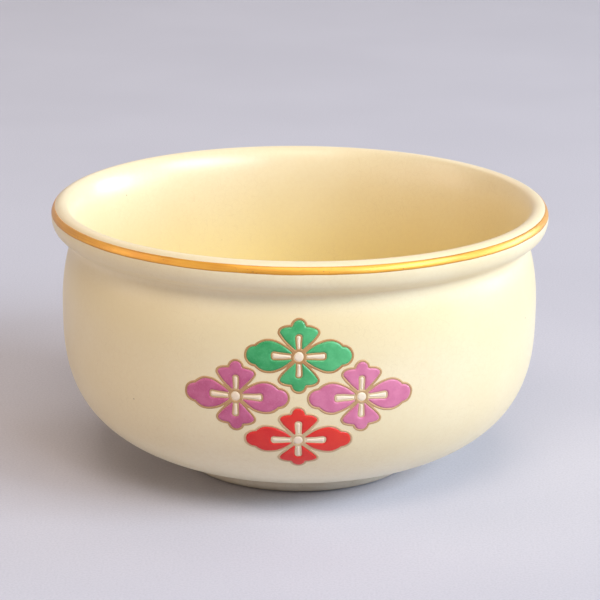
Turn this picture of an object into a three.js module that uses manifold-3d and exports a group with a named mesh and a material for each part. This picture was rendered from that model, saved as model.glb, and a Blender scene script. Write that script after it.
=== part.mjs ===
// Waste water bowl of a tea set. A glazed pottery bowl with a rolled lip stands on a low foot ring.
// A gold line is fired on the lip, and four enamel flowers form a diamond on the front.
// Millimetres, +Z up. The origin is on the table under the middle of the bowl, and -Y is the front.

import * as THREE from 'three';
import { mergeVertices } from 'three/addons/utils/BufferGeometryUtils.js';
import { TessellateModifier } from 'three/addons/modifiers/TessellateModifier.js';
import Module from 'manifold-3d';

// Bowl, outside
const rimRadius = 75;            // outermost circle of the lip
const bowlHeight = 81.8;         // table to the top of the lip
const bellySetIn = 2.8;          // widest circle of the belly, in from the rim
const neckSetIn = 5.9;           // narrowest circle under the lip, in from the rim
const shoulderDrop = 20.3;       // neck down to the widest circle of the belly
const shoulderRoundness = 2.24;  // power of the shoulder's curve
const bellyRoundness = 2.9;      // power of the curve that turns under to the foot

// Rolled lip
const lipRise = 3.8;             // widest circle of the lip up to its top
const lipTopSetIn = 3.2;         // top of the lip, in from its widest circle
const lipFall = 5.6;             // widest circle of the lip down to its lower edge
const lipUndercut = 4.7;         // lower edge of the lip, in from its widest circle
const neckDrop = 2.1;            // lower edge of the lip down to the neck
const lipInnerWidth = 2.6;       // half axes of the curve on the lip's inner side
const lipInnerFall = 3;
const lipInnerTurn = 52;         // degrees round that curve, from the lip's top to where the wall begins

// Walls and floor
const bellyWall = 6.1;           // wall at the widest circle of the belly
const floorWall = 3.7;           // floor of the bowl, above the foot
const hollowRoundness = 2.9;     // power of the curve of the hollow's lower half
const hollowUpright = 16;        // how far up from the belly's widest circle its wall tends to stand upright
const hollowFlare = 6.5;         // how far down from the lip it tends to keep the lip's slope

// Foot ring
const footHeight = 5;            // table to the underside of the bowl
const seatRadius = 37.5;         // flat underside that the foot ring carries
const footTopSetIn = 1.1;        // foot ring's outside at its top, in from the seat's edge
const footTaper = 0.3;           // how far its outside draws in before it turns under
const footRingWidth = 7.6;       // width of the foot ring at its top
const footRounding = 4;          // round lower edge on its outside
const footInnerRounding = 1;     // the same on its inside

// Layers fired on the glaze
const layerGap = 0.1;            // clearance between the glaze and what is laid on it
const goldLineThickness = 0.25;
const goldLineUpper = 42;        // degrees round the lip's outer curve, from its top
const goldLineLower = 82;
const outlineThickness = 0.22;
const enamelThickness = 0.3;
const ivoryThickness = 0.26;

// Flower, flat, as it is laid on the wall
const rootRadius = 1.9;          // circle on which the petals' edges start
const sidePetal = {
  length: 15.4,                  // centre of the flower to the tip
  halfWidth: 4.95,
  widestAt: 8.6,                 // how far out the side lobes are widest
  lobeReach: 10.6,               // how far out the corners of the side lobes lie
  tipRadius: 3.2,
  notchAngle: 88,                // degrees of the tip's circle on each side of the middle line
  rootAngle: 45,                 // degrees between the petal's edge and its middle line, at the root
};
const uprightPetal = {
  length: 10.9,
  halfWidth: 5.9,
  widestAt: 6.7,
  lobeReach: 8.7,
  tipRadius: 2.4,
  notchAngle: 80,
  rootAngle: 46.5,
};
const lineWidth = 0.62;          // gold line round a petal
const hairline = 0.13;           // bare glaze between the gold and what it goes round
const dotRadius = 1.27;
const dotRingWidth = 0.5;
const stamenLineWidth = 0.4;
const stamenStart = 0.4;         // stamen's inner end, out from the ring round the dot
const stamenCorner = 0.42;       // how much of the outer end's corners is rounded off
const sideStamen = { length: 4.9, innerHalf: 0.3, outerHalf: 0.64 };
const uprightStamen = { length: 3.4, innerHalf: 0.3, outerHalf: 0.46 };

// Diamond of four flowers
const diamondDrop = 28.3;        // neck down along the wall to the middle of the two mauve flowers
const tipGap = 4.6;              // between the tips of the two mauve flowers
const upperGap = 0.8;            // least glaze between the green flower and the mauve ones
const lowerGap = 1.55;           // least glaze between the red flower and the mauve ones

// Fineness
const turnedSides = 64;
const curveSteps = 3;
const wallStep = 4;              // longest edge of what is wrapped round the wall
const cutterReach = 1;           // how far a cutter passes the face that it cuts

const glaze = { color: 0xe9d9b0, roughness: 0.3, metalness: 0 };
const bareClay = { color: 0xc9b393, roughness: 0.85, metalness: 0 };
const gold = { color: 0xd8a24c, roughness: 0.32, metalness: 0.9 };
const outlineGold = { color: 0xb98d58, roughness: 0.5, metalness: 0.6 };
const ivory = { color: 0xf2e2c8, roughness: 0.4, metalness: 0 };
const green = { color: 0x3fb478, roughness: 0.35, metalness: 0 };
const mauve = { color: 0xc56aa8, roughness: 0.35, metalness: 0 };
const red = { color: 0xd23a35, roughness: 0.35, metalness: 0 };

const rad = THREE.MathUtils.degToRad;
const point = (x, y) => new THREE.Vector2(x, y);
const wasm = await Module();
wasm.setup();

const bowl = new THREE.Group();

function addPiece(name, geometry, finish) {
  const material = new THREE.MeshStandardMaterial({ ...finish, flatShading: true });
  const piece = new THREE.Mesh(geometry, material);
  piece.name = name;
  bowl.add(piece);
}

// Turned pieces: a closed outline of radius and height, turned about the Z axis.

function turned(outline) {
  const geometry = new THREE.LatheGeometry(outline, turnedSides);
  return geometry.rotateX(Math.PI / 2);
}

const lipTopRadius = rimRadius - lipTopSetIn;
const lipWidestHeight = bowlHeight - lipRise;
const lipLowerHeight = lipWidestHeight - lipFall;
const neckRadius = rimRadius - neckSetIn;
const neckHeight = lipLowerHeight - neckDrop;
const bellyRadius = rimRadius - bellySetIn;
const bellyHeight = neckHeight - shoulderDrop;

// Points of a quarter of an ellipse with the given centre and half axes, in degrees from its top.
function ellipsePoints(centre, halfWidth, halfHeight, from, to, steps) {
  return Array.from({ length: steps + 1 }, (_, i) => {
    const angle = rad(from + (to - from) * i / steps);
    return point(centre.x + halfWidth * Math.sin(angle), centre.y + halfHeight * Math.cos(angle));
  });
}

// The side of a belly: it swells from a closed end at the bottom to its widest circle.
function bellyPoints(radius, height, depth, power, fromHeight, steps) {
  const start = Math.acos(Math.min(1, ((height - fromHeight) / depth)) ** (power / 2));
  return Array.from({ length: steps + 1 }, (_, i) => {
    const angle = start + (Math.PI / 2 - start) * i / steps;
    const down = depth * Math.max(0, Math.cos(angle)) ** (2 / power);
    return point(radius * Math.sin(angle) ** (2 / power), height - down);
  });
}

// The shoulder: it draws in from the widest circle of the belly to the neck.
function shoulderPoints(radius, drawIn, steps) {
  return Array.from({ length: steps + 1 }, (_, i) => {
    const share = i / steps;
    return point(radius - drawIn * share ** shoulderRoundness, bellyHeight + shoulderDrop * share);
  });
}

const seatShare = (seatRadius / bellyRadius) ** bellyRoundness;
const bellyDepth = (bellyHeight - footHeight) / (1 - seatShare) ** (1 / bellyRoundness);

// The outside of the wall, from the seat of the foot up to the neck.
function outerWall(bellySteps, shoulderSteps) {
  const belly = bellyPoints(bellyRadius, bellyHeight, bellyDepth, bellyRoundness, footHeight, bellySteps);
  const shoulder = shoulderPoints(bellyRadius, bellyRadius - neckRadius, shoulderSteps);
  return [...belly, ...shoulder.slice(1)];
}

// The lip's inner side, from its top to where the wall of the hollow begins.
function innerLip() {
  const centre = point(lipTopRadius, bowlHeight - lipInnerFall);
  return ellipsePoints(centre, -lipInnerWidth, lipInnerFall, 0, lipInnerTurn, 3);
}

// The hollow, from the middle of the floor up to the lip's inner side. It widens all the way.
function hollowWall() {
  const radius = bellyRadius - bellyWall;
  const floorHeight = footHeight + floorWall;
  const depth = bellyHeight - floorHeight;
  const belly = bellyPoints(radius, bellyHeight, depth, hollowRoundness, floorHeight, 8);
  const edge = innerLip().at(-1);
  const turn = rad(lipInnerTurn);
  const slope = point(lipInnerWidth * Math.cos(turn), lipInnerFall * Math.sin(turn)).normalize();
  const flare = new THREE.CubicBezierCurve(
    belly.at(-1),
    point(radius, bellyHeight + hollowUpright),
    edge.clone().addScaledVector(slope, -hollowFlare),
    edge,
  );
  return [...belly, ...flare.getPoints(7).slice(1)];
}

function bodyOutline() {
  const lipCentre = point(lipTopRadius, lipWidestHeight);
  const underLip = point(rimRadius - lipUndercut, lipWidestHeight);
  return [
    point(0, footHeight),
    ...outerWall(9, 4),
    ...ellipsePoints(underLip, lipUndercut, lipFall, 180, 90, 3),
    ...ellipsePoints(lipCentre, lipTopSetIn, lipRise, 90, 0, 4).slice(1),
    ...innerLip().slice(1, -1),
    ...hollowWall().reverse(),
  ];
}

function footOutline() {
  const topOuter = seatRadius - footTopSetIn;
  const topInner = topOuter - footRingWidth;
  const outerCorner = point(topOuter - footTaper - footRounding, footRounding);
  const innerCorner = point(topInner + footTaper + footInnerRounding, footInnerRounding);
  return [
    point(topInner, footHeight),
    ...ellipsePoints(innerCorner, -footInnerRounding, footInnerRounding, 90, 180, 2),
    ...ellipsePoints(outerCorner, footRounding, footRounding, 180, 90, 5),
    point(topOuter, footHeight),
    point(topInner, footHeight),
  ];
}

// The gold line lies on the outer curve of the lip.
function goldLineOutline() {
  const centre = point(lipTopRadius, lipWidestHeight);
  const layer = (rise, from, to) => (
    ellipsePoints(centre, lipTopSetIn + rise, lipRise + rise, from, to, 3)
  );
  const inner = layer(layerGap, goldLineUpper, goldLineLower);
  const outer = layer(layerGap + goldLineThickness, goldLineLower, goldLineUpper);
  return [...inner, ...outer, inner[0]];
}

addPiece('bowl_body', turned(bodyOutline()), glaze);
addPiece('foot_ring', turned(footOutline()), bareClay);
addPiece('rim_gold_line', turned(goldLineOutline()), gold);

// Flat outlines: loops of points, counter-clockwise, pointing along +X from the flower's centre.

function petalLoop(petal) {
  const rootAngle = rad(petal.rootAngle);
  const root = point(rootRadius * Math.cos(rootAngle), rootRadius * Math.sin(rootAngle));
  const cornerX = root.x + (petal.halfWidth - root.y) / Math.tan(rootAngle);
  const tipCentre = petal.length - petal.tipRadius;
  const tipAngle = rad(petal.notchAngle);
  const notch = point(
    tipCentre + petal.tipRadius * Math.cos(tipAngle),
    petal.tipRadius * Math.sin(tipAngle),
  );
  const edge = new THREE.Path();
  edge.moveTo(root.x, -root.y);
  edge.quadraticCurveTo(cornerX, -petal.halfWidth, petal.widestAt, -petal.halfWidth);
  edge.quadraticCurveTo(petal.lobeReach, -petal.halfWidth, notch.x, -notch.y);
  edge.absarc(tipCentre, 0, petal.tipRadius, -tipAngle, tipAngle);
  edge.quadraticCurveTo(petal.lobeReach, petal.halfWidth, petal.widestAt, petal.halfWidth);
  edge.quadraticCurveTo(cornerX, petal.halfWidth, root.x, root.y);
  return edge.getPoints(curveSteps);
}

const ringInner = dotRadius + hairline;
const ringOuter = ringInner + dotRingWidth;

function stamenLoop(stamen) {
  const start = ringOuter + stamenStart;
  const end = start + stamen.length;
  const side = stamen.outerHalf;
  const edge = new THREE.Path();
  edge.moveTo(start, -stamen.innerHalf);
  edge.lineTo(end - stamenCorner, -side);
  edge.quadraticCurveTo(end, -side, end, stamenCorner - side);
  edge.lineTo(end, side - stamenCorner);
  edge.quadraticCurveTo(end, side, end - stamenCorner, side);
  edge.lineTo(start, stamen.innerHalf);
  return edge.getPoints(2);
}

function circleLoop(radius) {
  return Array.from({ length: 16 }, (_, i) => {
    const angle = 2 * Math.PI * i / 16;
    return point(radius * Math.cos(angle), radius * Math.sin(angle));
  });
}

// Moves a loop's edges in by a distance, or out where it is negative.
function inset(loop, distance) {
  return loop.map((here, i) => {
    const before = loop.at(i - 1);
    const after = loop[(i + 1) % loop.length];
    const arrive = here.clone().sub(before).normalize();
    const leave = after.clone().sub(here).normalize();
    const normal = point(-arrive.y - leave.y, arrive.x + leave.x);
    return here.clone().addScaledVector(normal, distance / (1 + arrive.dot(leave)));
  });
}

const spin = (loop, degrees) => loop.map((p) => p.clone().rotateAround(point(0, 0), rad(degrees)));

// Solids on the flat: an outline with its thickness, joined and cut before it is wrapped.

function slab(loop, thickness, hole, below = 0) {
  const shape = new THREE.Shape(loop);
  if (hole) shape.holes.push(new THREE.Path(hole));
  const geometry = new THREE.ExtrudeGeometry(shape, { depth: thickness + below, bevelEnabled: false });
  geometry.translate(0, 0, -below);
  geometry.deleteAttribute('normal');
  geometry.deleteAttribute('uv');
  const merged = mergeVertices(geometry);
  return new wasm.Manifold(new wasm.Mesh({
    numProp: 3,
    vertProperties: new Float32Array(merged.attributes.position.array),
    triVerts: new Uint32Array(merged.index.array),
  }));
}

const joined = (solids) => solids.reduce((sum, solid) => sum.add(solid));

// The wall that the flowers lie on, as a fine table of points with the length down from the neck.

const wallTable = outerWall(160, 60).reverse().map((p) => ({ radius: p.x, height: p.y, drop: 0 }));
wallTable.forEach((here, i) => {
  if (i === 0) return;
  const above = wallTable[i - 1];
  here.drop = above.drop + Math.hypot(here.radius - above.radius, here.height - above.height);
});

function wallAt(drop) {
  const next = wallTable.findIndex((row) => row.drop > drop);
  const i = next < 0 ? wallTable.length - 1 : Math.max(1, next);
  const above = wallTable[i - 1];
  const below = wallTable[i];
  const span = below.drop - above.drop;
  const share = (drop - above.drop) / span;
  return {
    radius: above.radius + (below.radius - above.radius) * share,
    height: above.height + (below.height - above.height) * share,
    outward: (above.height - below.height) / span,
    upward: (below.radius - above.radius) / span,
  };
}

// Wraps a flat solid round the wall: x runs round the bowl, y up the wall and z out of it.
function wrapped(solid, centre) {
  const mesh = solid.getMesh();
  const flat = new THREE.BufferGeometry();
  flat.setAttribute('position', new THREE.BufferAttribute(mesh.vertProperties, 3));
  flat.setIndex(new THREE.BufferAttribute(mesh.triVerts, 1));
  const fine = new TessellateModifier(wallStep, 8).modify(flat.toNonIndexed());
  const places = fine.attributes.position;
  for (let i = 0; i < places.count; i += 1) {
    const wall = wallAt(diamondDrop - centre.y - places.getY(i));
    const turn = (centre.x + places.getX(i)) / wall.radius;
    const rise = layerGap + places.getZ(i);
    const radius = wall.radius + rise * wall.outward;
    places.setXYZ(i, radius * Math.sin(turn), -radius * Math.cos(turn), wall.height + rise * wall.upward);
  }
  const geometry = mergeVertices(fine);
  geometry.computeVertexNormals();
  return geometry;
}

// The four petals of a flower, each with its stamen and the degrees that it is turned.

const petals = [
  { side: 'right', petal: sidePetal, stamen: sideStamen, degrees: 0 },
  { side: 'up', petal: uprightPetal, stamen: uprightStamen, degrees: 90 },
  { side: 'left', petal: sidePetal, stamen: sideStamen, degrees: 180 },
  { side: 'down', petal: uprightPetal, stamen: uprightStamen, degrees: 270 },
].map((row) => ({
  side: row.side,
  petalEdge: spin(petalLoop(row.petal), row.degrees),
  stamenEdge: spin(stamenLoop(row.stamen), row.degrees),
}));

// The least distance from the corners of one flower to the edges of the same flower moved by shift.
function leastGap(shift) {
  let least = Infinity;
  const near = new THREE.Vector3();
  const edge = new THREE.Line3();
  petals.forEach(({ petalEdge: fixed }) => petals.forEach(({ petalEdge: moved }) => {
    moved.forEach((start, i) => {
      const end = moved[(i + 1) % moved.length];
      edge.start.set(start.x + shift.x, start.y + shift.y, 0);
      edge.end.set(end.x + shift.x, end.y + shift.y, 0);
      fixed.forEach((corner) => {
        const place = new THREE.Vector3(corner.x, corner.y, 0);
        edge.closestPointToPoint(place, true, near);
        least = Math.min(least, near.distanceTo(place));
      });
    });
  }));
  return least;
}

// How far the rows of the diamond lie apart, so that flowers in two rows keep the gap between them.
function rowDistance(across, gap) {
  const step = 0.1;
  let distance = 2 * Math.max(sidePetal.length, uprightPetal.length) + gap;
  while (leastGap(point(across, distance - step)) > gap) distance -= step;
  return distance;
}

function addFlower(name, centre, enamel) {
  const gold = [slab(circleLoop(ringOuter), outlineThickness)];
  const bare = [slab(circleLoop(ringInner), outlineThickness + cutterReach, undefined, cutterReach)];
  petals.forEach(({ side, petalEdge, stamenEdge }) => {
    const stamenHole = inset(stamenEdge, -hairline);
    const stamenLine = inset(stamenHole, -stamenLineWidth);
    gold.push(slab(petalEdge, outlineThickness, inset(petalEdge, lineWidth)));
    gold.push(slab(stamenLine, outlineThickness));
    bare.push(slab(stamenHole, outlineThickness + cutterReach, undefined, cutterReach));
    const cutters = [inset(stamenLine, -hairline), circleLoop(ringOuter + hairline)];
    const fill = cutters.reduce(
      (solid, loop) => solid.subtract(slab(loop, enamelThickness + cutterReach, undefined, cutterReach)),
      slab(inset(petalEdge, lineWidth + hairline), enamelThickness),
    );
    addPiece(`${name}_petal_${side}`, wrapped(fill, centre), enamel);
    addPiece(`${name}_stamen_${side}`, wrapped(slab(stamenEdge, ivoryThickness), centre), ivory);
  });
  const outline = bare.reduce((solid, hole) => solid.subtract(hole), joined(gold));
  addPiece(`${name}_centre_dot`, wrapped(slab(circleLoop(dotRadius), ivoryThickness), centre), ivory);
  addPiece(`${name}_gold_outline`, wrapped(outline, centre), outlineGold);
}

const across = sidePetal.length + tipGap / 2;
addFlower('green', point(0, rowDistance(across, upperGap)), green);
addFlower('mauve_left', point(-across, 0), mauve);
addFlower('mauve_right', point(across, 0), mauve);
addFlower('red', point(0, -rowDistance(across, lowerGap)), red);

export default bowl;
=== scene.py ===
"""A waste water bowl for tea: cream crackle-glazed pottery with a gold line and four enamel flowers.

Metres throughout, except that patterns and painted shapes are worked out in millimetres.
"""
import math

import bpy
import numpy as np
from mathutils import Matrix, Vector


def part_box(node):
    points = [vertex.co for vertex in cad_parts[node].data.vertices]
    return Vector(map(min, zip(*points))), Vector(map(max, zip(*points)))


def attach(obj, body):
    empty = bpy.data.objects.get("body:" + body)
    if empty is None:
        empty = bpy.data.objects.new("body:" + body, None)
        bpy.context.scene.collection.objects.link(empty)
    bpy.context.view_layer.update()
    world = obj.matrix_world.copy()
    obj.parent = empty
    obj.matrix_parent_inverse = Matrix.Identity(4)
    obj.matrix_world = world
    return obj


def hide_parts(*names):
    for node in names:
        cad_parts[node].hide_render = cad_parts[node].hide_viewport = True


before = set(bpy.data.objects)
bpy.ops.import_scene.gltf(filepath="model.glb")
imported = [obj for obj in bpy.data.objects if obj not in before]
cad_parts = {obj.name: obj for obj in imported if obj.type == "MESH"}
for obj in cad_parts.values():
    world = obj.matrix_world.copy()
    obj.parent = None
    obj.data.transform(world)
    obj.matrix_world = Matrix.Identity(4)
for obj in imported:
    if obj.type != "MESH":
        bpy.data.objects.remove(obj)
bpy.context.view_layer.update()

# The camera stands a little above the rim and looks straight at the flowers.
# A long lens at arm's length keeps the bowl's ellipses as flat as they are seen.

view_distance = 0.700
view_pitch = math.radians(16.5)
view_roll = math.radians(0.4)
aim = Vector((0.0002, 0, 0.0496))
sensor_width = 36
lens_per_frame = 3.803

camera = bpy.data.objects.new("camera", bpy.data.cameras.new("camera"))
bpy.context.scene.collection.objects.link(camera)
bpy.context.scene.camera = camera
camera.data.sensor_width = sensor_width
camera.data.lens = sensor_width * lens_per_frame
camera.data.clip_end = 20
camera.location = aim + view_distance * Vector((0, -math.cos(view_pitch), math.sin(view_pitch)))
camera.rotation_mode = "ZYX"
camera.rotation_euler = (math.pi / 2 - view_pitch, 0, view_roll)

# The body is thrown in one piece: a round belly, a drawn-in neck and a lip rolled outwards.
# It is buff pottery under a thick cream glaze, which has crazed all over while cooling.

mm = 0.001
low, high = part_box("bowl_body")
rim_radius = high.x / mm
bowl_height = high.z / mm
foot_height = low.z / mm
belly_set_in, neck_set_in = 2.8, 5.9
lip_rise, lip_top_set_in = 3.8, 3.2
lip_fall, lip_undercut = 5.6, 4.7
neck_drop, shoulder_drop = 2.1, 20.3
lip_inner_width, lip_inner_fall, lip_inner_turn = 2.6, 3.0, 52.0
belly_wall, floor_wall = 6.1, 3.7
hollow_upright, hollow_flare = 16.0, 6.5
belly_roundness, shoulder_roundness, hollow_roundness = 2.9, 2.24, 2.9
seat_radius = 37.5
crease_reach, crease_rounds = 4, 3
belly_steps, shoulder_steps, flare_steps, lip_steps = 600, 120, 80, 40
body_sides, body_outline_step = 256, 0.85

belly_radius = rim_radius - belly_set_in
neck_radius = rim_radius - neck_set_in
lip_top_radius = rim_radius - lip_top_set_in
lip_widest_height = bowl_height - lip_rise
neck_height = lip_widest_height - lip_fall - neck_drop
belly_height = neck_height - shoulder_drop


class Socket:
    """The output of a node. Python's operators on it add Math nodes to its tree."""

    def __init__(self, tree, output):
        self.tree = tree
        self.output = output

    def __add__(self, other):
        return self.tree.maths("ADD", self, other)

    def __radd__(self, other):
        return self.tree.maths("ADD", other, self)

    def __sub__(self, other):
        return self.tree.maths("SUBTRACT", self, other)

    def __rsub__(self, other):
        return self.tree.maths("SUBTRACT", other, self)

    def __mul__(self, other):
        return self.tree.maths("MULTIPLY", self, other)

    def __rmul__(self, other):
        return self.tree.maths("MULTIPLY", other, self)

    def __truediv__(self, other):
        return self.tree.maths("DIVIDE", self, other)

    def __pow__(self, other):
        return self.tree.maths("POWER", self, other)

    def part(self, axis):
        """The X, Y or Z of a vector."""
        split = self.tree.node("ShaderNodeSeparateXYZ", {}, {0: self})
        return split.other(axis)

    def other(self, name):
        """Another output of the same node."""
        return Socket(self.tree, self.output.node.outputs[name])


class Nodes:
    """A node tree, of a material or of geometry, built one call at a time."""

    def __init__(self, tree):
        self.tree = tree

    def node(self, kind, settings, inputs, output=0):
        """Adds a node: settings first, then the value of, or the link to, each socket."""
        added = self.tree.nodes.new(kind)
        for name, value in settings.items():
            setattr(added, name, value)
        for key, value in inputs.items():
            if isinstance(value, Socket):
                self.tree.links.new(value.output, added.inputs[key])
            else:
                added.inputs[key].default_value = value
        return Socket(self, added.outputs[output]) if added.outputs else None

    def maths(self, operation, *values):
        """The result of a Math node on those values."""
        return self.node("ShaderNodeMath", {"operation": operation}, dict(enumerate(values)))


class Finish(Nodes):
    """A material. Patterns on it read object coordinates in millimetres."""

    def __init__(self, name):
        self.material = bpy.data.materials.new(name)
        self.material.use_nodes = True
        super().__init__(self.material.node_tree)
        self.tree.nodes.clear()
        place = self.node("ShaderNodeTexCoord", {}, {}, "Object")
        self.place = self.scaled(place, 1 / mm)

    def scaled(self, vector, factor):
        return self.node("ShaderNodeVectorMath", {"operation": "SCALE"}, {0: vector, "Scale": factor})

    def noise(self, size, detail=2.0, roughness=0.5, place=None):
        """Soft noise from 0 to 1 whose patches are about as large as size."""
        inputs = {"Vector": place or self.place, "Scale": 1 / size, "Detail": detail, "Roughness": roughness}
        return self.node("ShaderNodeTexNoise", {}, inputs, "Fac")

    def cells(self, size, feature, place=None):
        """How far each point is from the middle of its cell, or from the cells' edges."""
        inputs = {"Vector": place or self.place, "Scale": 1 / size}
        return self.node("ShaderNodeTexVoronoi", {"feature": feature}, inputs, "Distance")

    def ramp(self, value, start, end, to_start=0.0, to_end=1.0):
        """Rises or falls smoothly between two values, and is level outside them."""
        inputs = {"Value": value, 1: start, 2: end, 3: to_start, 4: to_end}
        return self.node("ShaderNodeMapRange", {"interpolation_type": "SMOOTHSTEP"}, inputs)

    def colour(self, share, first, second):
        """One colour turning into another."""
        inputs = {0: share, 6: first, 7: second}
        return self.node("ShaderNodeMix", {"data_type": "RGBA"}, inputs, 2)

    def facing_in(self):
        """1 where the surface faces the bowl's axis or lies level, and 0 on the outside of the wall."""
        level = self.node("ShaderNodeVectorMath", {"operation": "MULTIPLY"}, {0: self.place, 1: (1, 1, 0)})
        out = self.node("ShaderNodeVectorMath", {"operation": "NORMALIZE"}, {0: level})
        normal = self.node("ShaderNodeTexCoord", {}, {}, "Normal")
        along = self.node("ShaderNodeVectorMath", {"operation": "DOT_PRODUCT"}, {0: out, 1: normal}, "Value")
        return self.ramp(along, 0.0, 0.25, 1.0, 0.0)

    def bump(self, height, depth):
        """Height of 1 stands proud by depth, in millimetres."""
        return self.node("ShaderNodeBump", {}, {"Height": height, "Distance": depth * mm, "Strength": 1.0})

    def shine(self, **inputs):
        """The surface itself, which ends the material."""
        named = {key.replace("_", " ").title().replace("Ior", "IOR"): value for key, value in inputs.items()}
        surface = self.node("ShaderNodeBsdfPrincipled", {}, named)
        self.node("ShaderNodeOutputMaterial", {}, {"Surface": surface})
        return self.material


def srgb(red, green, blue):
    """A colour as it is seen, in parts of 255."""
    linear = [(part / 255) / 12.92 if part <= 10 else ((part / 255 + 0.055) / 1.055) ** 2.4
              for part in (red, green, blue)]
    return (*linear, 1.0)


def cream_glaze():
    """Cream glaze, softly shiny, with a faint net of cracks and a few iron specks and pinholes, and painted
    shade and painted light in its colour.
    """
    finish = Finish("cream_glaze")
    drift = finish.node("ShaderNodeTexNoise", {}, {"Vector": finish.place, "Scale": 0.7}, "Color")
    bent = finish.node("ShaderNodeVectorMath", {"operation": "ADD"},
                       {0: finish.place, 1: finish.scaled(drift, 0.55)})
    wide_net = finish.cells(2.2, "DISTANCE_TO_EDGE", bent)
    fine_net = finish.cells(0.95, "DISTANCE_TO_EDGE", bent)
    showing = finish.ramp(finish.noise(26, 1.0), 0.36, 0.62, 0.25, 1.0)
    wide_crack = finish.ramp(wide_net, 0.008, 0.026, 1.0, 0.0)
    fine_crack = finish.ramp(fine_net, 0.012, 0.040, 1.0, 0.0)
    crack = (wide_crack * 0.8 + fine_crack * 0.5) * showing
    cloud = finish.noise(34, 3.0)
    mottle = finish.noise(1.3, 2.0, 0.6)
    height = finish.place.part("Z")
    inside = finish.facing_in()
    outside = 1.0 - inside
    body = finish.colour(finish.ramp(cloud, 0.3, 0.7), srgb(242, 225, 188), srgb(238, 219, 178))
    # Painted shade deepens the colour on the outside below the lip and down inside the hollow; painted light
    # makes it paler low on the outside.
    painted_shade_under_lip = finish.ramp(height, 46, 62) * finish.ramp(height, 69, 64) * outside
    body = finish.colour(painted_shade_under_lip * 0.4, body, srgb(236, 214, 160))
    # Painted shade: deeper and more yellow towards the bottom of the hollow.
    painted_shade_in_hollow = finish.ramp(height, 78, 36) * finish.ramp(height, 5.5, 8) * inside
    body = finish.colour(painted_shade_in_hollow * 0.8, body, srgb(236, 214, 142))
    # Painted light: paler low on the outside wall, where the cloth lights it from below.
    lighter_with_painted_light = finish.ramp(height, 26, 8) * outside
    body = finish.colour(lighter_with_painted_light * 0.9, body, srgb(253, 243, 212))
    body = finish.colour(finish.ramp(mottle, 0.3, 0.75) * 0.2, body, srgb(232, 208, 162))
    body = finish.colour(crack * 0.12, body, srgb(190, 160, 110))
    iron = finish.cells(5, "F1")
    odd = finish.node("ShaderNodeTexWhiteNoise", {}, {"Vector": iron.other("Position")})
    speck = finish.ramp(iron, 0.03, 0.06, 1.0, 0.0) * finish.ramp(odd, 0.90, 0.92)
    body = finish.colour(speck * 0.6, body, srgb(132, 96, 60))
    pinholes = finish.ramp(finish.cells(9, "F1"), 0.012, 0.03, 1.0, 0.0)
    orange_peel = finish.noise(2.6, 1.0)
    return finish.shine(
        base_color=body,
        roughness=finish.ramp(cloud, 0.3, 0.7, 0.29, 0.33),
        specular_ior_level=0.5,
        ior=1.5,
        normal=finish.bump(orange_peel * 0.35 - pinholes * 0.5, 0.035),
    )


def ellipse_quarter(centre, half_width, half_height, start, end, steps):
    """Points of an ellipse round a centre, by angles in degrees from its top."""
    angle = np.radians(np.linspace(start, end, steps + 1))
    return np.stack([centre[0] + half_width * np.sin(angle), centre[1] + half_height * np.cos(angle)], 1)


def belly_curve(radius, depth, power, from_height, steps):
    """The lower side of the wall, from its bottom up to the widest circle."""
    start = math.acos(min(1.0, (belly_height - from_height) / depth) ** (power / 2))
    angle = np.linspace(start, math.pi / 2, steps + 1)
    across = radius * np.sin(angle) ** (2 / power)
    return np.stack([across, belly_height - depth * np.cos(angle).clip(0) ** (2 / power)], 1)


def shoulder_curve(radius, draw_in, steps):
    """The wall above the widest circle, which draws in towards the neck."""
    share = np.linspace(0, 1, steps + 1)
    return np.stack([radius - draw_in * share ** shoulder_roundness, belly_height + shoulder_drop * share], 1)


def outer_wall():
    """From the foot's seat up to the neck."""
    seat_share = (seat_radius / belly_radius) ** belly_roundness
    depth = (belly_height - foot_height) / (1 - seat_share) ** (1 / belly_roundness)
    belly = belly_curve(belly_radius, depth, belly_roundness, foot_height, belly_steps)
    shoulder = shoulder_curve(belly_radius, belly_radius - neck_radius, shoulder_steps)
    return np.vstack([belly, shoulder[1:]])


def inner_lip():
    """The lip's inner side, from its top to where the wall of the hollow begins."""
    centre = (lip_top_radius, bowl_height - lip_inner_fall)
    return ellipse_quarter(centre, -lip_inner_width, lip_inner_fall, 0, lip_inner_turn, lip_steps)


def hollow():
    """From the middle of the floor up to the lip's inner side. It widens all the way."""
    radius = belly_radius - belly_wall
    floor_height = foot_height + floor_wall
    depth = belly_height - floor_height
    belly = belly_curve(radius, depth, hollow_roundness, floor_height, belly_steps)
    edge = inner_lip()[-1]
    turn = math.radians(lip_inner_turn)
    slope = np.array([lip_inner_width * math.cos(turn), lip_inner_fall * math.sin(turn)])
    first = np.array([radius, belly_height + hollow_upright])
    second = edge - slope / np.linalg.norm(slope) * hollow_flare
    share = np.linspace(0, 1, flare_steps)[1:, None]
    flare = (belly[-1] * (1 - share) ** 3 + 3 * first * share * (1 - share) ** 2
             + 3 * second * share ** 2 * (1 - share) + edge * share ** 3)
    return np.vstack([belly, flare])


def even(points, step):
    """The same line with its points evenly spaced along it."""
    along = np.concatenate([[0], np.linalg.norm(np.diff(points, axis=0), axis=1).cumsum()])
    places = np.linspace(0, along[-1], round(along[-1] / step) + 1)
    return np.stack([np.interp(places, along, points[:, axis]) for axis in (0, 1)], 1)


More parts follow.
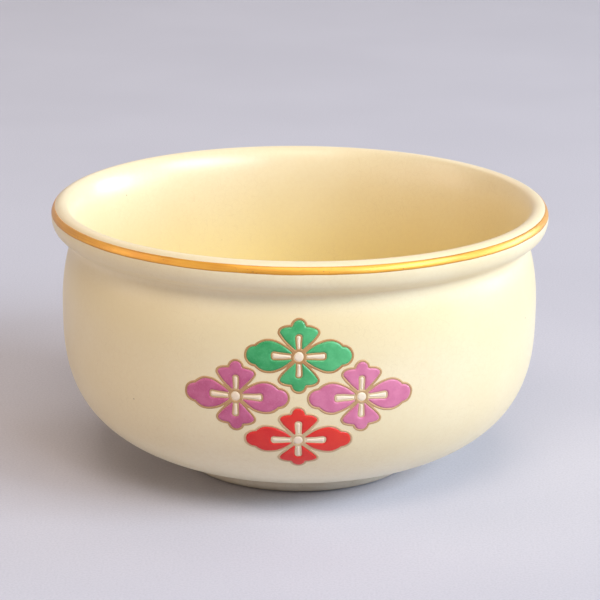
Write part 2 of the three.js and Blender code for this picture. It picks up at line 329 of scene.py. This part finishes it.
def body_outline():
    """The whole section of the body, from the middle underneath to the middle of the floor inside."""
    under_centre = (rim_radius - lip_undercut, lip_widest_height)
    under = ellipse_quarter(under_centre, lip_undercut, lip_fall, 180, 90, lip_steps)
    outer_centre = (lip_top_radius, lip_widest_height)
    outer = ellipse_quarter(outer_centre, lip_top_set_in, lip_rise, 90, 0, lip_steps)
    middle = np.array([[0, foot_height]])
    sections = [middle, outer_wall(), under, outer[1:], inner_lip()[1:-1], hollow()[::-1]]
    outline = even(np.vstack(sections), body_outline_step)
    # The glaze fills the crease under the lip and rounds it off.
    crease = (outline[:, 0] > neck_radius - 1) & (abs(outline[:, 1] - neck_height) < crease_reach)
    for _ in range(crease_rounds):
        around = outline.copy()
        around[1:-1] = (outline[:-2] + 2 * outline[1:-1] + outline[2:]) / 4
        outline = np.where(crease[:, None], around, outline)
    return outline


def curve_object(name, points):
    """A plain curve through points of radius and height, in the plane where Y is nought."""
    curve = bpy.data.curves.new(name, "CURVE")
    curve.dimensions = "3D"
    spline = curve.splines.new("POLY")
    spline.points.add(len(points) - 1)
    for point, (radius, height) in zip(spline.points, points):
        point.co = (radius * mm, 0, height * mm, 1)
    shape = bpy.data.objects.new(name, curve)
    bpy.context.scene.collection.objects.link(shape)
    return shape


def shape_tree(name, sockets):
    """An empty geometry tree with named inputs, and the Socket of each."""
    tree = bpy.data.node_groups.new(name, "GeometryNodeTree")
    tree.interface.new_socket(name="Geometry", in_out="OUTPUT", socket_type="NodeSocketGeometry")
    for socket, kind in sockets.items():
        tree.interface.new_socket(name=socket, in_out="INPUT", socket_type="NodeSocket" + kind)
    nodes = Nodes(tree)
    start = tree.nodes.new("NodeGroupInput")
    return nodes, {socket: Socket(nodes, start.outputs[socket]) for socket in sockets}


def end_tree(nodes, mesh, finish):
    """Ends a tree: real geometry, smooth, in its finish."""
    smooth = nodes.node("GeometryNodeSetShadeSmooth", {}, {"Geometry": mesh})
    real = nodes.node("GeometryNodeRealizeInstances", {}, {"Geometry": smooth})
    painted = nodes.node("GeometryNodeSetMaterial", {}, {"Geometry": real, "Material": finish})
    end = nodes.tree.nodes.new("NodeGroupOutput")
    nodes.tree.links.new(painted.output, end.inputs[0])


def made_by(tree, base, name, values):
    """Runs a tree on an object and keeps the result as a plain mesh piece of that name."""
    modifier = base.modifiers.new("shape", "NODES")
    modifier.node_group = tree
    for item in tree.interface.items_tree:
        if item.in_out == "INPUT" and item.name in values:
            modifier[item.identifier] = values[item.name]
    bpy.context.view_layer.update()
    graph = bpy.context.evaluated_depsgraph_get()
    mesh = bpy.data.meshes.new_from_object(base.evaluated_get(graph))
    mesh.name = name
    bpy.data.objects.remove(base)
    piece = bpy.data.objects.new(name, mesh)
    bpy.context.scene.collection.objects.link(piece)
    return piece


def on_circle(nodes, radius, sine, cosine, height):
    """The place at that radius and height. A turn of nought faces the camera."""
    return nodes.node("ShaderNodeCombineXYZ", {}, {0: radius * sine, 1: radius * cosine * -1.0, 2: height})


def turning_tree():
    """Turns an outline of radius and height about the Z axis, as on a potter's wheel."""
    sizes = {"Outline": "Geometry", "Sides": "Int", "Finish": "Material"}
    nodes, given = shape_tree("turned_on_the_wheel", sizes)
    rows = nodes.node("GeometryNodeAttributeDomainSize", {"component": "CURVE"},
                      {"Geometry": given["Outline"]})
    sheet = nodes.node("GeometryNodeMeshGrid", {}, {
        "Size X": 1.0, "Size Y": 1.0, "Vertices X": given["Sides"] + 1, "Vertices Y": rows,
    })
    place = nodes.node("GeometryNodeInputPosition", {}, {})
    row = nodes.maths("ROUND", (place.part("Y") + 0.5) * (rows - 1))
    there = nodes.node("GeometryNodeSampleIndex", {"data_type": "FLOAT_VECTOR", "domain": "POINT"},
                       {"Geometry": given["Outline"], "Value": place, "Index": row})
    turn = (place.part("X") + 0.5) * (2 * math.pi)
    radius = there.part("X")
    spot = on_circle(nodes, radius, nodes.maths("SINE", turn), nodes.maths("COSINE", turn), there.part("Z"))
    turned = nodes.node("GeometryNodeSetPosition", {}, {"Geometry": sheet, "Position": spot})
    closed = nodes.node("GeometryNodeMergeByDistance", {}, {"Geometry": turned, "Distance": 1e-6})
    end_tree(nodes, closed, given["Finish"])
    return nodes.tree


turned_on_the_wheel = turning_tree()
body = made_by(turned_on_the_wheel, curve_object("outline", body_outline()), "glazed_body",
               {"Sides": body_sides, "Finish": cream_glaze()})
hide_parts("bowl_body")
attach(body, "root")

# The foot ring is turned from the leather-hard clay after throwing, and its edges are pared.
# It is left bare, so that it doesn't stick in the kiln, and use has darkened it a little.

foot_top_set_in, foot_taper, foot_ring_width = 0.3, 0.2, 7.6
foot_rounding, foot_inner_rounding = 4.0, 1.0
foot_sides = 192


def bare_clay():
    """Unglazed clay with sand and grog in it, and fine rings from the turning tool."""
    finish = Finish("bare_clay")
    sand = finish.noise(0.35, 3.0, 0.65)
    cloud = finish.noise(9, 2.0)
    body = finish.colour(finish.ramp(cloud, 0.3, 0.7), srgb(240, 229, 208), srgb(232, 219, 196))
    body = finish.colour(finish.ramp(sand, 0.55, 0.75) * 0.4, body, srgb(210, 194, 166))
    grog = finish.ramp(finish.cells(1.6, "F1"), 0.05, 0.14, 1.0, 0.0)
    body = finish.colour(grog * 0.3, body, srgb(168, 144, 112))
    height = finish.place.part("Z")
    worn = finish.ramp(height, 0.05, 0.7, 1.0, 0.0)
    body = finish.colour(worn * 0.2, body, srgb(186, 168, 140))
    rings = finish.maths("SINE", height * 9.0 + cloud * 2.0) * 0.5 + 0.5
    return finish.shine(
        base_color=body,
        roughness=finish.ramp(sand, 0.3, 0.7, 0.78, 0.92),
        specular_ior_level=0.3,
        normal=finish.bump(sand * 0.8 + rings * 0.35 - grog * 0.3, 0.09),
    )


def foot_outline():
    """The closed section of the ring, which tapers a little on both sides and is rounded below."""
    top_outer = seat_radius - foot_top_set_in
    top_inner = top_outer - foot_ring_width
    low_outer = top_outer - foot_taper
    low_inner = top_inner + foot_taper
    inner_middle = (low_inner + foot_inner_rounding, foot_inner_rounding)
    outer_middle = (low_outer - foot_rounding, foot_rounding)
    worn_inner = ellipse_quarter(inner_middle, foot_inner_rounding, foot_inner_rounding, 270, 180, 10)
    worn_outer = ellipse_quarter(outer_middle, foot_rounding, foot_rounding, 180, 90, 24)
    inside = np.linspace((top_inner, foot_height), (low_inner, foot_inner_rounding), 10)[:-1]
    outside = np.linspace((low_outer, foot_rounding), (top_outer, foot_height), 4)[1:]
    return np.vstack([inside, worn_inner, worn_outer, outside, inside[:1]])


foot = made_by(turned_on_the_wheel, curve_object("outline", foot_outline()), "bare_foot_ring",
               {"Sides": foot_sides, "Finish": bare_clay()})
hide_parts("foot_ring")
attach(foot, "root")

# A line of liquid gold is brushed round the shoulder of the lip while the bowl turns.
# It is fired on at low heat and then rubbed up; its edges waver and it is thin in places.

gold_upper, gold_lower, gold_waver = math.radians(40.0), math.radians(79.0), math.radians(7)
gold_thickness, gold_sink = 0.09, 0.04
gold_points_round, gold_points_across = 721, 21


def rim_gold():
    """Fired gold with brush streaks along the line and small brown chips."""
    finish = Finish("rim_gold")
    turn = finish.maths("ARCTAN2", finish.place.part("X"), finish.place.part("Y"))
    round_rim = turn * rim_radius
    lengthwise = finish.node("ShaderNodeCombineXYZ", {},
                             {0: round_rim * 0.06, 1: finish.place.part("Z") * 2.4, 2: 0.0})
    streaks = finish.noise(1.0, 3.0, 0.6, lengthwise)
    patches = finish.noise(11, 2.0)
    gold = finish.colour(finish.ramp(streaks, 0.3, 0.7), srgb(216, 148, 42), srgb(230, 168, 62))
    gold = finish.colour(finish.ramp(patches, 0.45, 0.75) * 0.5, gold, srgb(196, 124, 38))
    chips = finish.ramp(finish.noise(0.8, 2.0, 0.7), 0.62, 0.70)
    chips = chips * finish.ramp(finish.noise(14, 1.0), 0.45, 0.6)
    gold = finish.colour(chips * 0.8, gold, srgb(140, 88, 48))
    return finish.shine(
        base_color=gold,
        metallic=0.55 - chips * 0.4,
        roughness=finish.ramp(streaks, 0.25, 0.75, 0.36, 0.48) + chips * 0.2,
        coat_weight=0.25,
        coat_roughness=0.22,
        normal=finish.bump(streaks * 0.5 - chips * 0.6, 0.03),
    )


def brushed_line_tree():
    """A thin domed line of gold laid round the outer curve of the lip."""
    sizes = {"Upper": "Float", "Lower": "Float", "Waver": "Float", "Thickness": "Float", "Finish": "Material"}
    nodes, given = shape_tree("line_brushed_round_the_lip", sizes)
    sheet = nodes.node("GeometryNodeMeshGrid", {}, {
        "Size X": 1.0, "Size Y": 1.0, "Vertices X": gold_points_round, "Vertices Y": gold_points_across,
    })
    place = nodes.node("GeometryNodeInputPosition", {}, {})
    turn = (place.part("X") + 0.5) * (2 * math.pi)
    across = (place.part("Y") + 0.5) * 2.0
    over = nodes.maths("LESS_THAN", across, 1.0)
    share = nodes.maths("PINGPONG", across, 1.0)
    sine, cosine = nodes.maths("SINE", turn), nodes.maths("COSINE", turn)

    def wander(seed):
        spot = nodes.node("ShaderNodeCombineXYZ", {}, {0: sine * 6.0, 1: cosine * 6.0, 2: seed})
        noise = nodes.node("ShaderNodeTexNoise", {}, {"Vector": spot, "Scale": 1.0, "Detail": 3.0}, "Fac")
        return (noise - 0.5) * given["Waver"]

    first = given["Upper"] + wander(0.0)
    last = given["Lower"] + wander(7.0)
    angle = first + (last - first) * share
    dome = nodes.maths("SQRT", 1.0 - (share * 2.0 - 1.0) ** 4.0)
    # The line's underside and both its edges lie a little inside the glaze, where the sheet closes.
    proud = over * nodes.maths("GREATER_THAN", share, 0.01)
    rise = dome * given["Thickness"] * over - (1.0 - proud) * gold_sink * mm
    radius = lip_top_radius * mm + (rise + lip_top_set_in * mm) * nodes.maths("SINE", angle)
    height = lip_widest_height * mm + (rise + lip_rise * mm) * nodes.maths("COSINE", angle)
    spot = on_circle(nodes, radius, sine * -1.0, cosine, height)
    laid = nodes.node("GeometryNodeSetPosition", {}, {"Geometry": sheet, "Position": spot})
    closed = nodes.node("GeometryNodeMergeByDistance", {}, {"Geometry": laid, "Distance": 1e-6})
    end_tree(nodes, closed, given["Finish"])
    return nodes.tree


def empty_mesh_object(name):
    """Something for a tree to run on that makes all its geometry itself."""
    shape = bpy.data.objects.new(name, bpy.data.meshes.new(name))
    bpy.context.scene.collection.objects.link(shape)
    return shape


gold_line = made_by(brushed_line_tree(), empty_mesh_object("line"), "gold_line_on_lip", {
    "Upper": gold_upper, "Lower": gold_lower, "Waver": gold_waver, "Thickness": gold_thickness * mm,
    "Finish": rim_gold(),
})
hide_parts("rim_gold_line")
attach(gold_line, "root")

# Four flowers are fired on over the glaze, in a diamond. Matt brown gold outlines the petals,
# the stamens and the middle, and enamel is flooded in between, where it sets in a low dome.

root_radius = 1.9
side_petal = {"length": 15.4, "half": 4.95, "widest": 8.6, "lobe": 10.6,
              "tip": 3.2, "notch": 88, "root": 45}
upright_petal = {"length": 10.9, "half": 5.9, "widest": 6.7, "lobe": 8.7,
                 "tip": 2.4, "notch": 80, "root": 46.5}
line_width, hairline, enamel_gap = 0.62, 0.13, 0.03
dot_radius, dot_ring = 1.27, 0.5
stamen_line, stamen_start = 0.4, 0.4
side_stamen = {"length": 4.9, "inner": 0.3, "outer": 0.64}
upright_stamen = {"length": 3.4, "inner": 0.3, "outer": 0.46}
stamen_corner = 0.42
petal_steps, corner_steps, tip_points = 10, 6, 31
ring_inner = dot_radius + hairline
ring_outer = ring_inner + dot_ring
diamond_drop = 28.3
enamel_rise, gold_rise, ivory_rise = 0.26, 0.12, 0.22
petal_full_at, gold_full_at, dot_full_at, stamen_full_at = 0.7, 0.3, 0.9, 0.45
petal_cell, gold_cell, dot_cell, stamen_cell = 0.28, 0.165, 0.17, 0.15
sunk_into_glaze = 0.05
filling_rounds, fitting_rounds = 4, 3
brush_waver, brush_waver_size = 0.5, 4.5
wall_step, fine_wall_step = 0.3, 0.05


def bend(first, corner, last, steps=petal_steps):
    """A quadratic curve between two points."""
    share = np.linspace(0, 1, steps + 1)[:-1, None]
    first, corner, last = (np.array(point) for point in (first, corner, last))
    return first * (1 - share) ** 2 + 2 * corner * share * (1 - share) + last * share ** 2


def petal_loop(petal):
    """The outer edge of a petal that points along X."""
    angle = math.radians(petal["root"])
    root = np.array([math.cos(angle), math.sin(angle)]) * root_radius
    shoulder = (root[0] + (petal["half"] - root[1]) / math.tan(angle), petal["half"])
    widest = (petal["widest"], petal["half"])
    lobe = (petal["lobe"], petal["half"])
    middle = petal["length"] - petal["tip"]
    notch = math.radians(petal["notch"])
    turn = np.linspace(notch, -notch, tip_points)
    tip = np.stack([middle + petal["tip"] * np.cos(turn), petal["tip"] * np.sin(turn)], 1)
    upper = np.vstack([bend(root, shoulder, widest), bend(widest, lobe, tip[0])])
    lower = upper[::-1] * (1, -1)
    return np.vstack([upper, tip, lower])


def stamen_loop(stamen):
    """The edge of a stamen: narrow near the middle of the flower and blunt at its outer end."""
    start = ring_outer + stamen_start
    end = start + stamen["length"]
    side, corner = stamen["outer"], stamen_corner
    blunt_end = bend((end - corner, side), (end, side), (end, side - corner), corner_steps)
    upper = np.vstack([[(start, stamen["inner"])], blunt_end])
    return np.vstack([upper, [(end, side - corner)], upper[::-1] * (1, -1)])


def turned_loop(loop, degrees):
    """The same loop turned about the flower's middle, anticlockwise."""
    angle = math.radians(degrees)
    cosine, sine = math.cos(angle), math.sin(angle)
    return loop @ np.array([[cosine, sine], [-sine, cosine]])


def depth_in(points, loop):
    """How deep each point lies inside a loop; negative outside it."""
    start, end = loop, np.roll(loop, -1, 0)
    edge = end - start
    length = (edge ** 2).sum(1).clip(1e-12)
    reach = points[:, None] - start
    share = ((reach * edge).sum(-1) / length).clip(0, 1)
    away = np.linalg.norm(reach - share[..., None] * edge, axis=-1).min(1)
    x, y = points[:, :1], points[:, 1:]
    level = np.where(edge[:, 1] == 0, 1e-12, edge[:, 1])
    crossed_at = start[:, 0] + (y - start[:, 1]) * edge[:, 0] / level
    crossing = ((start[:, 1] > y) != (end[:, 1] > y)) & (x < crossed_at)
    return np.where(crossing.sum(1) % 2 == 1, away, -away)


arms = [("right", side_petal, side_stamen, 0), ("up", upright_petal, upright_stamen, 90),
        ("left", side_petal, side_stamen, 180), ("down", upright_petal, upright_stamen, 270)]
petal_edges = {side: turned_loop(petal_loop(petal), degrees) for side, petal, _, degrees in arms}
stamen_edges = {side: turned_loop(stamen_loop(stamen), degrees) for side, _, stamen, degrees in arms}


def depth_in_line(depth, width):
    """How deep a point lies in a line of that width, given its depth inside the line's outer edge."""
    return np.minimum(depth, width - depth)


def gold_depth(points):
    """How deep each point lies in the gold that outlines a whole flower."""
    from_middle = np.linalg.norm(points, axis=1)
    depth = ring_outer - from_middle
    holes = ring_inner - from_middle
    for side in petal_edges:
        depth = np.maximum(depth, depth_in_line(depth_in(points, petal_edges[side]), line_width))
        beside_stamen = depth_in(points, stamen_edges[side])
        depth = np.maximum(depth, beside_stamen + hairline + stamen_line)
        holes = np.maximum(holes, beside_stamen + hairline)
    return np.minimum(depth, -holes)


def beside_stamens(points):
    """1 on the lines round the stamens, and 0 on the petals' own lines."""
    nearest = np.max([depth_in(points, edge) for edge in stamen_edges.values()], axis=0)
    blend = 0.1
    return ((nearest + hairline + stamen_line + blend) / (2 * blend)).clip(0, 1)


def enamel_depth(side):
    """How deep a point lies in the enamel of the petal on that side."""
    def depth(points):
        inside = depth_in(points, petal_edges[side]) - line_width - enamel_gap
        beside_stamen = depth_in(points, stamen_edges[side]) + stamen_line + hairline + enamel_gap
        beside_ring = np.linalg.norm(points, axis=1) - ring_outer - hairline
        return np.minimum(np.minimum(inside, -beside_stamen), beside_ring)
    return depth


def open_edges(faces):
    """The edges that only one face uses, each in the direction in which that face has it."""
    sides = np.vstack([faces[:, [0, 1]], faces[:, [1, 2]], faces[:, [2, 0]]])
    _, first_seen, count = np.unique(np.sort(sides, 1), axis=0, return_index=True, return_counts=True)
    return sides[first_seen[count == 1]]


def flooded(name, depth_at, reach, cell, rise, full_at, rubbed_at=None):
    """A low closed dome over the place where depth_at is positive, on a mesh of small triangles.

    It has its full rise where the depth is full_at or more. Where rubbed_at is given, each point
    keeps how far the gold there is rubbed off, from 0 to 1.
    """
    row_step = cell * math.sqrt(3) / 2
    columns, rows = (int(2 * side / step) + 2 for side, step in zip(reach, (cell, row_step)))
    column, row = np.meshgrid(np.arange(columns), np.arange(rows))
    x = column * cell + (row % 2) * cell / 2 - reach[0]
    points = np.stack([x, row * row_step - reach[1]], -1).reshape(-1, 2)
    here = (row * columns + column)[:-1, :-1].ravel()
    odd = ((row % 2)[:-1, :-1].ravel() == 1)[:, None]
    right, above, above_right = here + 1, here + columns, here + columns + 1
    first = np.where(odd, np.stack([here, right, above_right], 1), np.stack([here, right, above], 1))
    second = np.where(odd, np.stack([here, above_right, above], 1), np.stack([right, above_right, above], 1))
    faces = np.vstack([first, second])
    kept = depth_at(points)[faces].mean(1) > 0
    # Two gaps that would touch in a single point are parted by filling the faces round it.
    for _ in range(filling_rounds):
        starts = open_edges(faces[kept])[:, 0]
        kept |= np.isin(faces, np.flatnonzero(np.bincount(starts) > 1)).any(1)
    used, faces = np.unique(faces[kept], return_inverse=True)
    faces = faces.reshape(-1, 3)
    points = points[used]
    rim = open_edges(faces)
    # The points of the rim move onto the line where the depth is nought.
    loose = np.unique(rim)
    nudge = 0.02
    furthest = cell * 0.6
    for _ in range(fitting_rounds):
        spot = points[loose]
        value = depth_at(spot)
        slope = np.stack([depth_at(spot + step) - value for step in ((nudge, 0), (0, nudge))], 1) / nudge
        steep = (slope ** 2).sum(1, keepdims=True).clip(0.3)
        points[loose] = spot - (value[:, None] * slope / steep).clip(-furthest, furthest)
    share = (depth_at(points) / full_at).clip(0, 1)
    height = rise * np.sqrt(1 - (1 - share) ** 2)
    top = np.column_stack([points, height]) * mm
    bottom = np.column_stack([points, np.full(len(points), -sunk_into_glaze)]) * mm
    size = len(points)
    walls = [(b, a, a + size, b + size) for a, b in rim.tolist()]
    mesh = bpy.data.meshes.new(name)
    mesh.from_pydata(np.vstack([top, bottom]).tolist(), [],
                     faces.tolist() + (faces[:, ::-1] + size).tolist() + walls)
    if rubbed_at:
        rubbed = mesh.attributes.new("rubbed", "FLOAT", "POINT")
        rubbed.data.foreach_set("value", np.tile(rubbed_at(points), 2))
    shape = bpy.data.objects.new(name, mesh)
    bpy.context.scene.collection.objects.link(shape)
    return shape


def laying_tree():
    """Lays a flat shape on the bowl: X goes round the wall, Y up it and Z out of it.

    The brush wavers a little on the way, and all that is laid near one place wavers alike.
    """
    sizes = {"Shape": "Geometry", "Wall": "Object", "Across": "Float", "Drop": "Float", "Waver": "Float",
             "Finish": "Material"}
    nodes, given = shape_tree("laid_on_the_wall", sizes)
    wall = nodes.node("GeometryNodeObjectInfo", {"transform_space": "ORIGINAL"},
                      {"Object": given["Wall"]}, "Geometry")
    place = nodes.node("GeometryNodeInputPosition", {}, {})
    across = given["Across"] + place.part("X")
    drop = given["Drop"] - place.part("Y")

    def wavering(seed):
        size = brush_waver_size * mm
        spot = nodes.node("ShaderNodeCombineXYZ", {}, {0: across / size, 1: drop / size, 2: seed})
        noise = nodes.node("ShaderNodeTexNoise", {}, {"Vector": spot, "Scale": 1.0, "Detail": 1.0}, "Fac")
        return (noise - 0.5) * given["Waver"]

    drop = drop + wavering(11.0)
    sample = nodes.node("GeometryNodeSampleCurve", {"mode": "LENGTH", "use_all_curves": True},
                        {"Curves": wall, "Length": drop}, "Position")
    tangent = sample.other("Tangent")
    radius = sample.part("X") - place.part("Z") * tangent.part("Z")
    height = sample.part("Z") + place.part("Z") * tangent.part("X")
    turn = (across + wavering(3.0)) / sample.part("X")
    spot = on_circle(nodes, radius, nodes.maths("SINE", turn), nodes.maths("COSINE", turn), height)
    laid = nodes.node("GeometryNodeSetPosition", {}, {"Geometry": given["Shape"], "Position": spot})
    end_tree(nodes, laid, given["Finish"])
    return nodes.tree


def enamel(name, deep, bright, pale):
    """Glass coloured with metal oxides, a little cloudy and finely pitted. Its colour is painted darker on
    the left as painted shade and brighter on the right as painted light.
    """
    finish = Finish(name)
    cloud = finish.noise(3.2, 3.0)
    grain = finish.noise(0.45, 2.0, 0.6)
    # Random cloudiness, plus painted shade on the left and painted light on the right: deep is the shaded
    # colour and bright the lit one.
    lighter_with_painted_light = finish.ramp(cloud, 0.3, 0.7) * 0.35 + finish.ramp(finish.place.part("X"), -18, 18) * 0.65
    body = finish.colour(lighter_with_painted_light, deep, bright)
    body = finish.colour(finish.ramp(grain, 0.52, 0.78) * 0.3, body, pale)
    pits = finish.ramp(finish.cells(1.1, "F1"), 0.03, 0.10, 1.0, 0.0)
    return finish.shine(
        base_color=body,
        roughness=finish.ramp(cloud, 0.3, 0.7, 0.29, 0.34),
        coat_weight=0.15,
        coat_roughness=0.12,
        normal=finish.bump(grain * 0.3 + cloud * 0.5 - pits * 0.6, 0.03),
    )


def outline_gold():
    """Thin gold in a matt medium. Where it is rubbed, the pale glaze under it shows through."""
    finish = Finish("outline_gold")
    grain = finish.noise(0.5, 3.0, 0.65)
    patches = finish.noise(5, 2.0)
    rubbed = finish.node("ShaderNodeAttribute", {"attribute_name": "rubbed"}, {}, "Fac")
    gold = finish.colour(finish.ramp(patches, 0.3, 0.7), srgb(192, 146, 94), srgb(178, 130, 82))
    gold = finish.colour(finish.ramp(grain, 0.5, 0.8) * 0.5, gold, srgb(208, 160, 112))
    gold = finish.colour(rubbed, gold, srgb(228, 206, 168))
    return finish.shine(
        base_color=gold,
        metallic=0.2 - rubbed * 0.15,
        roughness=finish.ramp(grain, 0.3, 0.7, 0.42, 0.56),
        normal=finish.bump(grain, 0.03),
    )


wall_curve = curve_object("wall", even(outer_wall()[::-1], wall_step))
laid_on_the_wall = laying_tree()
line_gold = outline_gold()
# Each enamel is given its colour in painted shade, its colour in painted light, and a pale colour for its
# grain.
ivory = enamel("ivory_enamel", srgb(240, 216, 188), srgb(246, 228, 204), srgb(228, 204, 174))
green = enamel("green_enamel", srgb(18, 140, 72), srgb(96, 194, 128), srgb(112, 196, 142))
mauve = enamel("mauve_enamel", srgb(186, 80, 122), srgb(220, 128, 162), srgb(226, 146, 174))
red = enamel("red_enamel", srgb(218, 14, 14), srgb(232, 50, 30), srgb(230, 74, 58))


def lay(flat, node, across, up, finish):
    """Lays one painted shape on the wall in place of the CAD node of the same patch."""
    piece = made_by(laid_on_the_wall, flat, node + "_fired", {
        "Wall": wall_curve, "Across": across * mm, "Drop": (diamond_drop - up) * mm,
        "Waver": brush_waver * mm, "Finish": finish,
    })
    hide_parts(node)
    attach(piece, "root")


def middle_of(node):
    """Where a dot's CAD solid lies, round the wall and up from the diamond's middle."""
    lowest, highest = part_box(node)
    middle = (lowest + highest) / 2 / mm
    wall = even(outer_wall()[::-1], fine_wall_step)
    here = np.argmin(np.hypot(wall[:, 0] - math.hypot(middle.x, middle.y), wall[:, 1] - middle.z))
    return math.atan2(middle.x, -middle.y) * wall[here, 0], diamond_drop - here * fine_wall_step


def dot_depth(points):
    """How deep each point lies in the dot in a flower's middle."""
    return dot_radius - np.linalg.norm(points, axis=1)


def rubbed_gold(most):
    """The gold of a flower is rubbed off by that share, and three times as far round the stamens."""
    return lambda points: np.minimum(1, most * (1 + 2 * beside_stamens(points)))


margin = 0.5
whole_flower = (side_petal["length"] + margin, upright_petal["length"] + margin)
flowers = [("green", green, "green_enamel", 0.0), ("mauve_left", mauve, "mauve_enamel", 0.1),
           ("mauve_right", mauve, "mauve_enamel", 0.2), ("red", red, "red_enamel", 0.5)]
for flower, finish, slot, rubbed in flowers:
    across, up = middle_of(flower + "_centre_dot")
    net = flooded("net", gold_depth, whole_flower, gold_cell, gold_rise, gold_full_at, rubbed_gold(rubbed))
    lay(net, flower + "_gold_outline", across, up, line_gold)
    dot = flooded("dot", dot_depth, (2, 2), dot_cell, ivory_rise, dot_full_at)
    lay(dot, flower + "_centre_dot", across, up, ivory)
    for side, edge in petal_edges.items():
        reach = np.abs(edge).max(0) + margin
        petal = flooded("petal", enamel_depth(side), reach, petal_cell, enamel_rise, petal_full_at)
        lay(petal, f"{flower}_petal_{side}", across, up, finish)
        loop = stamen_edges[side]
        reach = np.abs(loop).max(0) + margin
        stamen = flooded("stamen", lambda points, loop=loop: depth_in(points, loop), reach,
                         stamen_cell, ivory_rise, stamen_full_at)
        lay(stamen, f"{flower}_stamen_{side}", across, up, ivory)
bpy.data.objects.remove(wall_curve)

# The bowl stands on a large pale lavender cloth, which reaches past the camera's view on all
# sides. It is matt, with a fine weave that shows only as a slight unevenness.

cloth_radius, cloth_corners = 4.0, 96


def pale_cloth():
    """Matt lavender cloth."""
    finish = Finish("pale_cloth")
    weave = finish.noise(0.7, 2.0, 0.6)
    cloud = finish.noise(120, 2.0)
    body = finish.colour(finish.ramp(cloud, 0.3, 0.7), srgb(203, 201, 212), srgb(207, 205, 216))
    body = finish.colour(finish.ramp(weave, 0.35, 0.7) * 0.5, body, srgb(190, 189, 200))
    return finish.shine(base_color=body, roughness=0.9, specular_ior_level=0.15,
                        normal=finish.bump(weave, 0.05))


def spread_cloth():
    """A round of cloth flat under the bowl."""
    angle = np.linspace(0, 2 * math.pi, cloth_corners + 1)[:-1]
    rim = np.stack([cloth_radius * np.cos(angle), cloth_radius * np.sin(angle), 0 * angle], 1)
    mesh = bpy.data.meshes.new("cloth")
    mesh.from_pydata(rim.tolist(), [], [list(range(cloth_corners))])
    mesh.materials.append(pale_cloth())
    cloth = bpy.data.objects.new("cloth", mesh)
    bpy.context.scene.collection.objects.link(cloth)


spread_cloth()

# Soft boxes stand round the bowl. The strongest is on the right in front, with the cool light of a
# window; those above and on the left are weaker and a little warmer.

lit_point = Vector((0, 0, 0.04))


def soft_light(name, place, size, level, warmth):
    """A soft box that faces the bowl. A level of 1 lights a white card turned to it to full white."""
    lamp = bpy.data.lights.new(name, "AREA")
    lamp.shape = "RECTANGLE"
    lamp.size, lamp.size_y = size
    lamp.energy = level * math.pi ** 2 * Vector(place).length_squared
    lamp.color = (1 + warmth, 1, 1 - warmth)
    box = bpy.data.objects.new(name, lamp)
    bpy.context.scene.collection.objects.link(box)
    box.location = place
    box.rotation_euler = (lit_point - Vector(place)).to_track_quat("-Z", "Y").to_euler()


soft_light("right_front", (2.69, -1.25, 1.86), (1.6, 1.0), 0.547, -0.15)
soft_light("right_low", (3.42, 0, 0.73), (1.6, 1.0), 0.120, -0.15)
soft_light("right_back_low", (3.10, 1.45, 0.73), (1.6, 1.0), 0.406, -0.09)
soft_light("front_high", (1.91, -2.27, 1.86), (1.6, 1.0), 0.333, -0.15)
soft_light("above", (0, 0.2, 3.5), (2.0, 2.0), 0.145, 0.15)
soft_light("above_front", (0, -2.0, 2.9), (2.0, 1.4), 0.330, 0.15)
soft_light("left_front_low", (-2.62, -2.20, 0.73), (1.6, 1.0), 0.062, 0.15)
soft_light("left_low", (-3.41, -0.30, 0.73), (1.6, 1.0), 0.091, 0.15)
soft_light("left_high", (-2.96, -0.26, 1.86), (1.6, 1.0), 0.090, 0.15)
soft_light("back_high", (-0.6, 2.6, 1.9), (2.0, 1.4), 0.106, 0.15)


def room():
    """A dim warm room, which the camera and the reflections see as pale lavender."""
    world = bpy.data.worlds.new("room")
    world.use_nodes = True
    air = Nodes(world.node_tree)
    world.node_tree.nodes.clear()
    path = air.node("ShaderNodeLightPath", {}, {}, "Is Camera Ray")
    seen = air.maths("MAXIMUM", path, air.maths("MAXIMUM", path.other("Is Glossy Ray"),
                                                path.other("Is Transmission Ray")))
    colour = air.node("ShaderNodeMix", {"data_type": "RGBA"},
                      {0: seen, 6: (0.021, 0.018, 0.015, 1), 7: srgb(200, 199, 210)}, 2)
    light = air.node("ShaderNodeBackground", {}, {"Color": colour, "Strength": 1.0})
    air.node("ShaderNodeOutputWorld", {}, {"Surface": light})
    return world


bpy.context.scene.world = room()
bpy.context.scene.view_settings.view_transform = "Standard"
